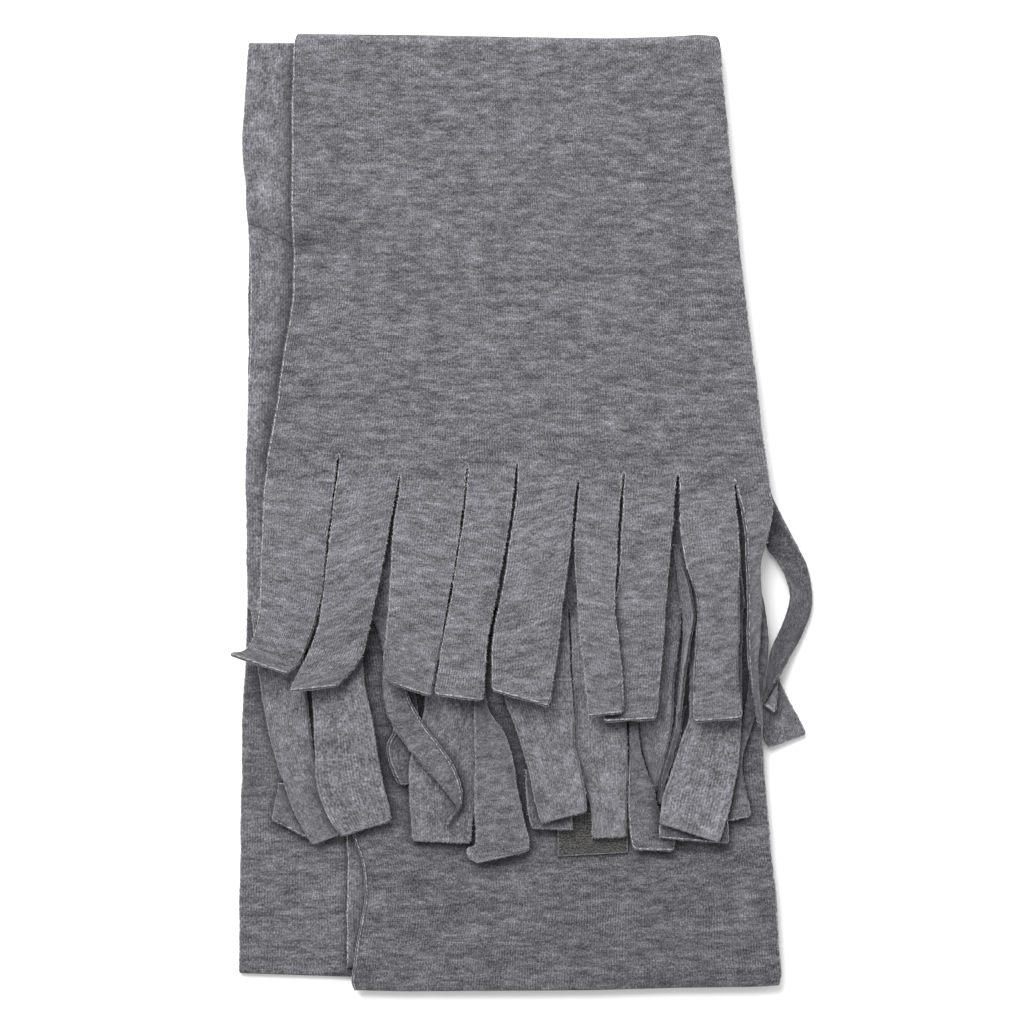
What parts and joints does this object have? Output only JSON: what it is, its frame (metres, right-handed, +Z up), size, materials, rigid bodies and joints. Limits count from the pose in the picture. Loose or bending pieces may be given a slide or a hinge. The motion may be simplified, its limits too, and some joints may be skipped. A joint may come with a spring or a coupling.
{
  "type": "fringed winter scarf",
  "caption": "Long winter scarf in heather-grey brushed-back jersey with raw cut fringe at both ends, folded into a flat rectangular stack.",
  "frame": {"origin": "a point of the flat underside that the folded scarf rests on, near the middle of the stack", "axes": "+Z up from the resting face through the layers; +Y along the scarf's length from the fringes towards the top fold; +X across the scarf, towards the twisted strip"},
  "size_m": [0.2125, 0.3461, 0.0119],
  "materials": {
    "knit_face": "matt heather-grey plain knit with fine wales along the scarf",
    "brushed_back": "matt, softly napped brushed back of the same knit, a little lighter",
    "label_weave": "dark charcoal woven label, bare"
  },
  "bodies": {
    "root": {"first_end": "knit_face", "first_fringe_01": "knit_face", "first_fringe_02": "knit_face", "first_fringe_03": "knit_face", "first_fringe_04": "knit_face", "first_fringe_05": "knit_face", "first_fringe_06": "knit_face", "first_fringe_07": "knit_face", "first_fringe_08": "knit_face", "first_fringe_09": "knit_face", "first_fringe_10_twisted": "brushed_back", "first_fringe_11_narrow": "knit_face", "second_end": "brushed_back", "second_fringe_01": "brushed_back", "second_fringe_02_corner": "knit_face", "second_fringe_03": "brushed_back", "second_fringe_04_curled": "brushed_back", "second_fringe_05_twisted": "knit_face", "second_fringe_06": "brushed_back", "second_fringe_07": "knit_face", "second_fringe_08_under": "brushed_back", "second_fringe_09": "brushed_back", "second_fringe_10": "brushed_back", "second_fringe_11": "knit_face", "second_fringe_12": "brushed_back", "second_fringe_13_narrow": "brushed_back", "second_fringe_14_under": "knit_face", "second_fringe_15": "brushed_back", "second_fringe_16": "knit_face", "lower_panel": "knit_face", "third_turn_edge": "brushed_back", "second_turn_edge": "knit_face", "folded_core": "knit_face", "sewn_label": "label_weave"}
  },
  "joints": []
}
